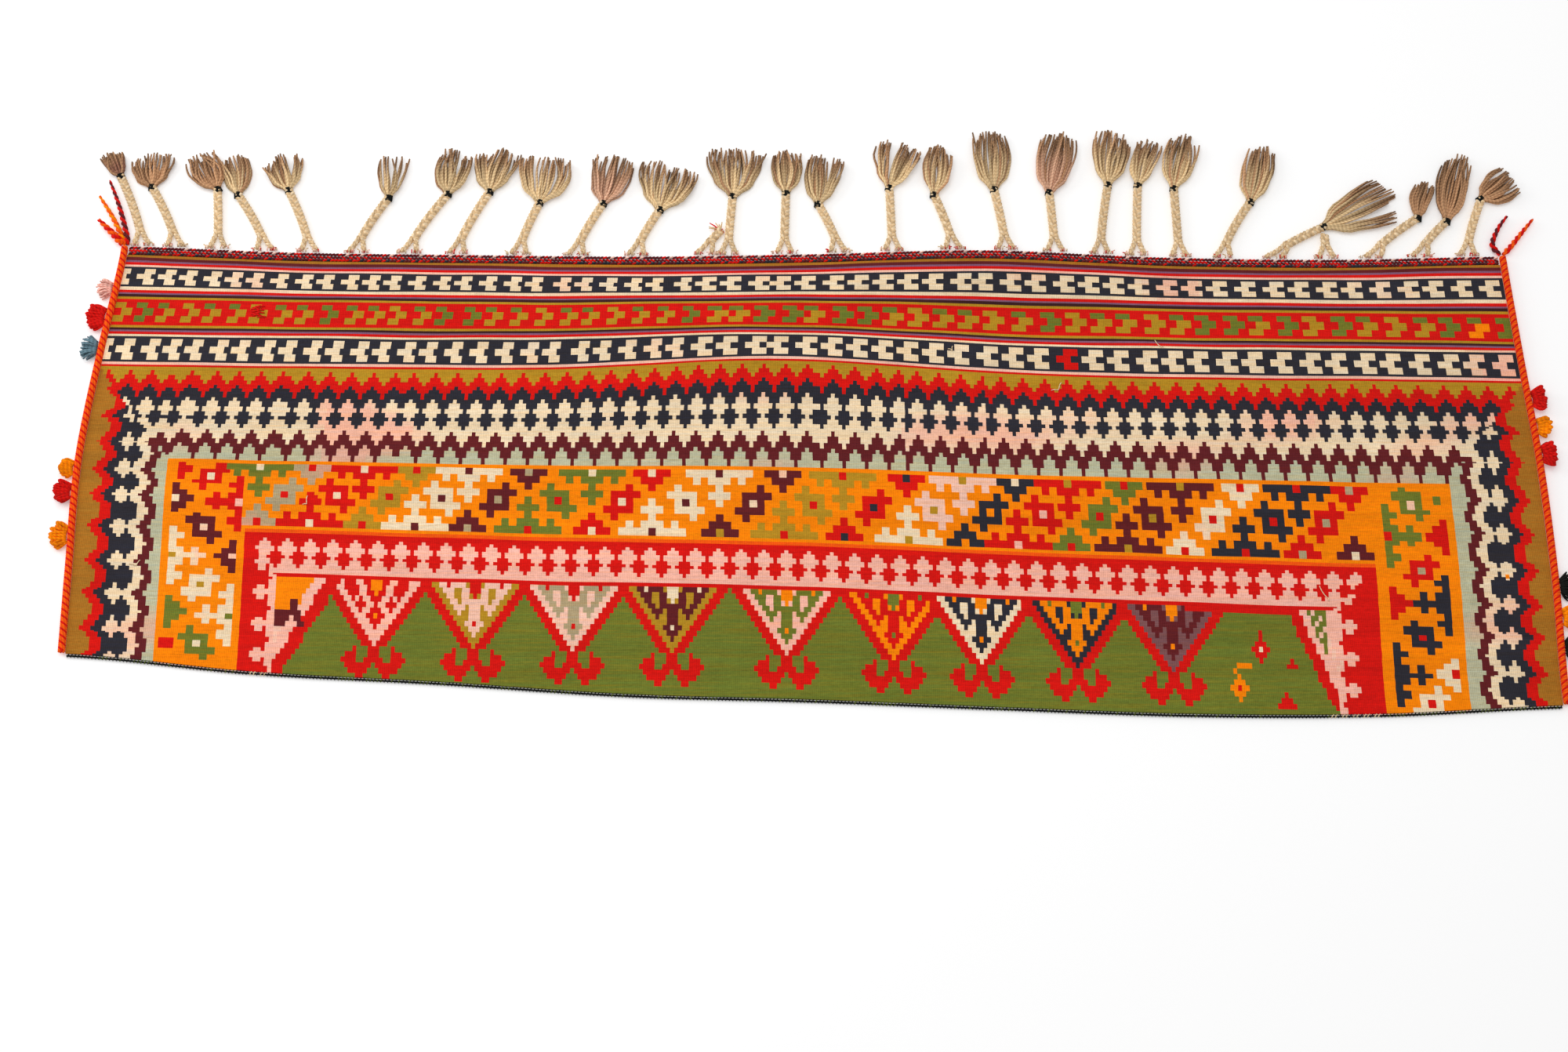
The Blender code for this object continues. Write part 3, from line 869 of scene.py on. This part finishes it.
# Fringe: the warp ends are plaited in pairs of legs into braids, bound at the neck with dark thread,
# and left open below it as a skirt of two-ply yarns.
FRINGES = 27
PITCH = LENGTH / FRINGES
FOOT_WIDTH = 0.016
LEG_HEIGHT = 0.014
BRAID_THICKNESS = 0.007
PLAIT_TURN = 0.0125
BINDING_STEPS = 72
STEPS_A_TURN = 12
BRAIDS = {
    "01": (-13.11, (-13.70, 0.098), (-14.00, 0.131), 0.38),
    "02": (-12.45, (-13.05, 0.084), (-13.18, 0.127), 0.72),
    "03": (-11.62, (-11.75, 0.081), (-12.22, 0.128), 0.66),
    "04": (-10.69, (-11.33, 0.074), (-11.43, 0.127), 0.56),
    "05": (-9.82, (-10.34, 0.080), (-10.60, 0.127), 0.66),
    "06": (-8.90, (-8.35, 0.070), (-8.31, 0.132), 0.52),
    "07": (-7.87, (-7.18, 0.075), (-7.11, 0.132), 0.70),
    "08": (-6.93, (-6.36, 0.078), (-6.26, 0.134), 0.76),
    "09": (-5.72, (-5.36, 0.064), (-5.19, 0.126), 1.00),
    "10": (-4.60, (-4.10, 0.063), (-3.86, 0.127), 0.76),
    "11": (-3.43, (-2.98, 0.055), (-2.75, 0.115), 0.98),
    "12": (-1.63, (-1.55, 0.072), (-1.46, 0.138), 1.00),
    "13": (-0.53, (-0.50, 0.076), (-0.46, 0.136), 0.58),
    "14": (0.53, (0.14, 0.062), (0.25, 0.126), 0.62),
    "15": (1.58, (1.55, 0.083), (1.84, 0.146), 0.74),
    "16": (2.77, (2.43, 0.074), (2.60, 0.146), 0.58),
    "17": (3.80, (3.62, 0.081), (3.61, 0.157), 0.74),
    "18": (4.76, (4.71, 0.077), (4.97, 0.154), 0.74),
    "19": (5.65, (5.88, 0.087), (6.06, 0.161), 0.68),
    "20": (6.36, (6.47, 0.086), (6.76, 0.152), 0.50),
    "21": (7.18, (7.18, 0.082), (7.48, 0.156), 0.64),
    "22": (8.03, (8.67, 0.065), (9.07, 0.140), 0.62),
    "23": (9.02, (10.07, 0.033), (11.58, 0.074), 0.88),
    "25": (10.96, (11.93, 0.044), (12.08, 0.091), 0.38),
    "26": (11.88, (12.49, 0.040), (12.93, 0.129), 0.64),
    "27": (12.81, (13.23, 0.068), (13.96, 0.096), 0.66),
}
SHORT_BRAIDS = {"12_side": (-2.10, (-1.78, 0.028), "12"), "24": (10.05, (10.06, 0.0225), "23")}
BODIES = {"12": "braid_12_crossed", "12_side": "braid_12_crossed", "23": "braid_23_24_bound",
          "24": "braid_23_24_bound"}
SKIRT_WOOL = {"01": "dark_skirt", "10": "rosy_skirt", "18": "rosy_skirt"}
for name in ("02", "03", "25", "26", "27"):
    SKIRT_WOOL[name] = "brown_skirt"
for name, colour in (("warp", (224, 192, 148)), ("pale_warp", (236, 210, 172)),
                     ("pale_skirt", (232, 200, 152)), ("brown_skirt", (200, 152, 112)),
                     ("dark_skirt", (150, 104, 84)), ("rosy_skirt", (230, 180, 148))):
    WOOL[name] = linear(colour)


def foot_line(root):
    return max(header_y(root * PITCH + shift) for shift in (-FOOT_WIDTH / 2, 0, FOOT_WIDTH / 2))


def braid_axis(name):
    roots = [BRAIDS[name][0]] + [root for root, _, partner in SHORT_BRAIDS.values() if partner == name]
    return max(foot_line(root) for root in roots) + GAP + BRAID_THICKNESS / 2


def plait(yarns, root, neck, axis_y):
    """Two legs and a three-strand plait, from the header to the neck."""
    root_x, neck_x = root * PITCH, neck[0] * PITCH
    neck_y = WIDTH / 2 + neck[1]
    rise = neck_y - axis_y
    join = min(LEG_HEIGHT, rise / 2) / rise

    def centre(share):
        x = root_x + (neck_x - root_x) * share ** 1.3
        return Vector((x, axis_y + rise * share, BRAID_THICKNESS / 2))

    meet = centre(join)
    for side in (-1, 1):
        foot = Vector((root_x + side * 0.0082, axis_y - 0.0010, 0.0032))
        knee = (foot * 0.45 + meet * 0.55) + Vector((side * 0.0014, -0.0015, 0))
        leg = resample([tuple(foot), tuple(knee), tuple(meet + Vector((side * 0.0016, 0.002, 0)))], 0.0011)
        twist(yarns, leg, 0.0016, 0.0017, 0.008, (tinted("warp", 0.1), tinted("pale_warp", 0.1)), 6)
        for k in range(8):
            tip_x = foot.x + chance.uniform(-0.0055, 0.0055)
            end = (tip_x + chance.uniform(-0.003, 0.003), foot.y + chance.uniform(-0.001, 0.003),
                   chance.uniform(0.0015, 0.0045))
            spin(yarns, [(tip_x, foot.y - 0.0022, 0.0024), (tip_x, foot.y, 0.0044), end], 0.0007, 5,
                 tinted(chance.choice(("red", "rose_cream", "rose_cream", "pale_warp", "warp")), 0.15))
    length = sum((centre(join + (1 - join) * (i + 1) / 8) - centre(join + (1 - join) * i / 8)).length
                 for i in range(8))
    rings = max(int(length / 0.0009), 12)
    tones = [tinted("warp", 0.08), tinted("pale_warp", 0.08), tinted("warp", 0.12)]
    for strand in range(3):
        line = []
        for i in range(rings + 1):
            share = join + (1 - join) * i / rings
            spot = centre(share)
            along = centre(min(share + 0.01, 1)) - centre(max(share - 0.01, 0))
            across = along.cross(Vector((0, 0, 1))).normalized()
            phase = math.tau * (length * i / rings / PLAIT_TURN + strand / 3)
            line.append(tuple(spot + across * 0.0030 * math.sin(phase)
                              + Vector((0, 0, 0.0014 * math.sin(2 * phase)))))
        spin(yarns, line, 0.0021, 7, tones[strand])


def fringe_spot(place, height):
    """A place in the fringe, from braid pitches along and metres past the cloth's mean edge."""
    return Vector((place[0] * PITCH, WIDTH / 2 + place[1], height))


def skirt(yarns, name, neck, tip, spread, count, wool):
    """Open yarns that fall in a few clumps: they flare from the neck, bulge, end uneven and brown, and the
    lower yarns carry painted shade.
    """
    start = fringe_spot(neck, 0)
    end = fringe_spot(tip, 0)
    along = end - start
    across = Vector((along.y, -along.x, 0)).normalized()
    full = spread * PITCH * 0.56
    fan = random.Random(int(name[:2]) * 7 + 3)
    clumps = 2 if spread < 0.6 else 3
    lean = [fan.uniform(-0.007, 0.007) for _ in range(clumps)]
    longer = [fan.uniform(0.84, 1.0) for _ in range(clumps)]
    for n in range(count):
        clump = n * clumps // count
        middle = -1 + 2 * (clump + 0.5) / clumps
        place = middle + (-1 + 2 * (n + 0.5) / count - middle) * 0.86 + fan.uniform(-0.09, 0.09)
        layer = fan.random()
        reach = (1.05 - 0.14 * abs(place) ** 1.5) * longer[clump] * fan.choice((0.88, 0.95, 1.0, 1.0))
        bend = fan.uniform(-1, 1)
        curl = lean[clump] + fan.uniform(-0.003, 0.003)
        if fan.random() < 0.12:
            curl += fan.choice((-1, 1)) * 0.008
        path = []
        for i in range(10):
            share = i / 9 * reach
            open_width = (0.13 + 0.60 * smooth(0, 0.26, share) + 0.25 * smooth(0.2, 0.6, share)
                          - 0.10 * smooth(0.7, 1.0, share))
            off = place * full * open_width + 0.0009 * bend * math.sin(share * 8 + n)
            off += curl * smooth(0.3, 1.1, share)
            off = max(min(off, full + 0.004), -full - 0.004)
            lift = 0.0036 + (layer - 0.45) * (0.0030 + 0.0066 * smooth(0, 0.5, share) * (1 - share * 0.45))
            lift = max(lift - 0.0012 * smooth(0.6, 1, share), 0.0015)
            path.append(tuple(start + along * share + across * off + Vector((0, 0, lift))))
        # Painted shade: yarns that lie lower in the skirt are coloured darker, on top of a random tone.
        tone = fan.uniform(0.72, 1.14) * (0.72 + 0.32 * layer)
        base = Vector(WOOL[wool if fan.random() < 0.85 else "brown_skirt"]) * tone
        tip_wool = Vector(WOOL["brown_skirt"]) * tone * fan.uniform(0.45, 0.9)
        colours = [tuple(base.lerp(tip_wool, smooth(0.25, 1.0, i / 8))) for i in range(9)]
        spin(yarns, path, 0.00135, 6, colours, 0.65)


def binding(yarns, neck, toward):
    """Dark thread wound six times round a neck."""
    start = fringe_spot(neck, BRAID_THICKNESS / 2)
    along = (fringe_spot(toward, BRAID_THICKNESS / 2) - start).normalized()
    across = Vector((along.y, -along.x, 0))
    line = []
    for i in range(BINDING_STEPS + 1):
        turn = math.tau * i / STEPS_A_TURN
        line.append(tuple(start + along * (0.0075 * i / BINDING_STEPS - 0.0045)
                          + across * 0.0040 * math.cos(turn)
                          + Vector((0, 0, 0.0027 * math.sin(turn)))))
    spin(yarns, line, 0.0008, 5, WOOL["black"])


for name, (root, neck, tip, spread) in BRAIDS.items():
    body = BODIES.get(name, "braid_" + name)
    node = "fringe_" + name
    chance.seed(int(name) * 11)
    braid = new_yarns()
    plait(braid, root, neck, braid_axis(name))
    finish_yarns("plait_" + name, braid, yarn_finish, body, [node])
    wool = SKIRT_WOOL.get(name, "pale_skirt")
    count = 13 if name == "06" else int(20 + 24 * spread)
    open_end = new_yarns()
    skirt(open_end, name, neck, tip, spread, count, wool)
    slot = "warp_wool_dark" if name in ("01", "02", "03", "25", "27") else "warp_wool"
    finish_yarns("skirt_" + name, open_end, yarn_finish, body, [node])
    thread = new_yarns()
    binding(thread, neck, tip)
    finish_yarns("binding_" + name, thread, yarn_finish, body, [node])
for name, (root, end, partner) in SHORT_BRAIDS.items():
    braid = new_yarns()
    plait(braid, root, end, braid_axis(partner))
    if name == "12_side":
        fray = fringe_spot(end, BRAID_THICKNESS / 2)
        for n in range(14):
            stray = Vector((chance.uniform(-0.013, 0.004), chance.uniform(0.000, 0.010),
                            chance.uniform(-0.001, 0.002)))
            path = [tuple(fray - stray * 0.3), tuple(fray),
                    tuple(fray + stray * 0.6 + Vector((0, 0, 0.001))), tuple(fray + stray)]
            spin(braid, path, 0.0009, 5, tinted(chance.choice(("red", "warp", "warp")), 0.2), 0.6)
    finish_yarns("plait_" + name, braid, yarn_finish, BODIES[name], ["fringe_" + name])


# Corner tails: the selvedge yarns run on past the header as loose ends, two yarns twisted in each.
# A route is given as steps outwards from the corner and on past the header.
TAILS = {
    "left_tail_red": (-1, ("red", "maroon"), ((-0.0025, 0), (0.000, 0.012), (0.010, 0.042),
                                              (0.018, 0.062), (0.027, 0.082))),
    "left_tail_orange": (-1, ("flame", "orange"), ((0.0005, 0), (0.006, 0.012), (0.019, 0.036),
                                                   (0.036, 0.062))),
    "left_tail_thick": (-1, ("flame", "red"), ((0.0035, 0), (0.012, 0.010), (0.022, 0.020),
                                               (0.033, 0.031))),
    "right_tail_red": (1, ("maroon", "red"), ((-0.0015, 0), (-0.009, 0.012), (0.000, 0.033),
                                              (0.012, 0.049))),
    "right_tail_orange": (1, ("flame", "red"), ((0.0015, 0), (0.011, 0.010), (0.024, 0.026),
                                                (0.040, 0.045))),
}
for node, (side, wools, points) in TAILS.items():
    x = side * LENGTH / 2
    for _ in range(4):
        x = side_x(side, header_y(x))
    y = header_y(x) + GAP + 0.0012
    x += side * (CORD / 2 + GAP)
    heft = 0.0024 if "thick" in node else 0.0018
    line = resample([(x + side * out, y + on, 2 * heft) for out, on in points], 0.001)[1:]
    line = [(a, b, c - (heft - 0.0001) * max(0.0, 1 - i / 4)) for i, (a, b, c) in enumerate(line)]
    tail = new_yarns()
    twist(tail, line, heft, heft, 0.014, (WOOL[wools[0]], WOOL[wools[1]]), 6, 0.4, 5)
    body = "left_corner_tails" if side < 0 else "right_corner_tails"
    slot = "madder_wool" if node == "left_tail_red" else ("maroon_wool" if "red" in node else "orange_wool")
    finish_yarns(node.replace("_tail_", "_end_"), tail, yarn_finish, body, [node])


# Tufts: bundles of dyed wool yarn looped through the selvedge cords.
# The pink, blue and black ones are frayed open; the red and orange ones are loops.
WOOL["dusty_blue"] = linear((106, 134, 146))
TUFT_WOOLS = {"left": ("pink", "red", "dusty_blue", "orange", "red", "orange"),
              "right": ("red", "orange", "red", "black", "orange", "black")}
tufts = [(end + "_tuft_" + str(n + 1), wool) for end, wools in TUFT_WOOLS.items()
         for n, wool in enumerate(wools)]
for seed, (node, wool) in enumerate(tufts):
    low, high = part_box(node)
    side = -1 if node.startswith("left") else 1
    tie = Vector((high[0] if side < 0 else low[0], (low[1] + high[1]) / 2, 0.0055))
    reach = high[0] - low[0]
    length = high[1] - low[1]
    pick = random.Random(seed + 40)
    tuft = new_yarns()
    frayed = wool in ("dusty_blue", "black", "pink")
    strands = 34 if frayed else 26
    for n in range(strands):
        place = -1 + 2 * (n + 0.5) / strands
        root = tie + Vector((0, place * length * 0.20, 0))
        swing = place * 0.95 + pick.uniform(-0.2, 0.2)
        out = Vector((side * math.cos(swing) * reach * 0.94, math.sin(swing) * length * 0.30, 0))
        out *= pick.uniform(0.82, 1.0)
        top = pick.uniform(-0.0030, 0.0056)
        path = []
        if frayed:
            for i in range(7):
                share = i / 6
                lift = top * math.sin(share * 2.6) - 0.0012 * share
                path.append(tuple(root + out * share + Vector((side * 0.0008, 0, lift))))
        else:
            wide = Vector((-out.y, out.x, 0)).normalized() * 0.0021
            for i in range(13):
                turn = math.pi * i / 12
                path.append(tuple(root + out * math.sin(turn) + wide * math.cos(turn)
                                  + Vector((side * 0.0012, 0, top * math.sin(turn)))))
        path = [(x, y, max(z, 0.0018)) for x, y, z in path]
        tone = pick.uniform(0.72, 1.14)
        thick, thinned = (0.0012, 0.75) if frayed else (0.0016, 1)
        spin(tuft, path, thick, 6, tuple(v * tone for v in WOOL[wool]), thinned)
    finish_yarns(node.replace("_tuft_", "_bundle_"), tuft, yarn_finish, "cloth", [node])


# Mend and strays: a red wool darn in the comb band, sewn in nine short stitches, and a few loose
# pale weft ends that lie on the cloth.
STRAYS = ((0.262, 0.088, 0.6, 0.016), (0.375, 0.140, 2.2, 0.010), (-0.53, -0.045, 1.0, 0.012),
          (0.525, -0.150, 1.9, 0.018), (-0.70, -0.115, 0.3, 0.014), (0.15, 0.135, 0.4, 0.008))
mend = new_yarns()
chance.seed(77)
surface = 0.0040
for n in range(9):
    x, y = -0.600 + chance.uniform(-0.005, 0.005), 0.181 + 0.0016 * (n - 4)
    stitch = [(x - 0.005, y, surface - 0.0006), (x, y + 0.0006, surface + 0.0003),
              (x + 0.005, y, surface - 0.0006)]
    spin(mend, stitch, 0.0008, 5, tinted("red", 0.1))
for x, y, turn, long in STRAYS:
    path = []
    for share in (0, 0.15, 0.3, 0.45, 0.6, 0.75, 0.9, 1):
        path.append((x + long * (share - 0.5) * math.cos(turn) + 0.002 * math.sin(share * 5),
                     y + long * (share - 0.5) * math.sin(turn) + 0.002 * math.cos(share * 6), surface))
    spin(mend, path, 0.0005, 5, WOOL["pale_warp"])
finish_yarns("darn_and_strays", mend, yarn_finish, "cloth", ["kilim_panel"])
